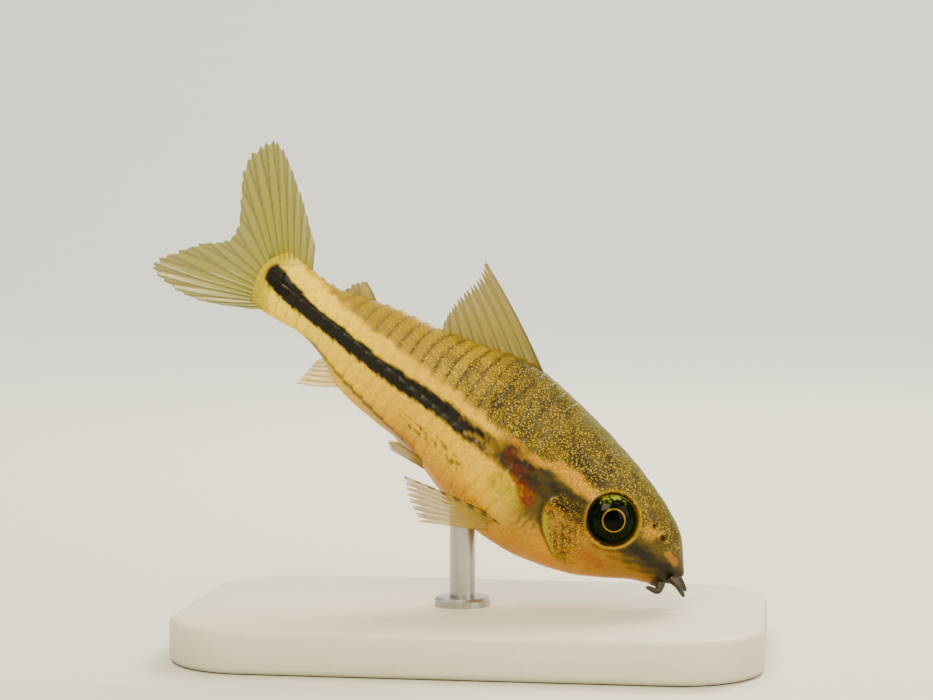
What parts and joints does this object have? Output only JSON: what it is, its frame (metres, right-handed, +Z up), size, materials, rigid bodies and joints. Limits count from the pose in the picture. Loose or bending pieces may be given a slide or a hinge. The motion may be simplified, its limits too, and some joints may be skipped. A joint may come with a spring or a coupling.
{
  "type": "pygmy corydoras catfish model on a display stand",
  "caption": "Life-size still model of a pygmy corydoras catfish feeding nose down, held over a flat base by one short rod",
  "frame": {"origin": "the middle of the flat underside of the stand's base", "axes": "+X the way the fish faces, along the base's length; +Y the fish's left side; +Z up"},
  "size_m": [0.0288, 0.016, 0.0237],
  "materials": {
    "skin": "wet, plated fish skin, olive-brown back, black side stripe, cream flank and amber belly",
    "fin": "thin yellowish fin membrane with raised rays",
    "eye": "wet dark eye with a thin gold ring",
    "barbel": "dark brown soft barbel",
    "stand_base": "pale satin plate with softened edges",
    "stand_rod": "plain fine-brushed steel rod"
  },
  "bodies": {
    "root": {"head": "skin", "trunk": "skin", "tail": "skin", "eye_right": "eye", "eye_left": "eye", "barbel_maxillary_right": "barbel", "barbel_maxillary_left": "barbel", "barbel_rictal_right": "barbel", "barbel_rictal_left": "barbel", "dorsal_fin": "fin", "adipose_fin": "fin", "anal_fin": "fin", "caudal_fin": "fin", "pectoral_fin_right": "fin", "pectoral_fin_left": "fin", "pelvic_fin_right": "fin", "pelvic_fin_left": "fin", "stand_base": "stand_base", "stand_rod": "stand_rod"}
  },
  "joints": []
}
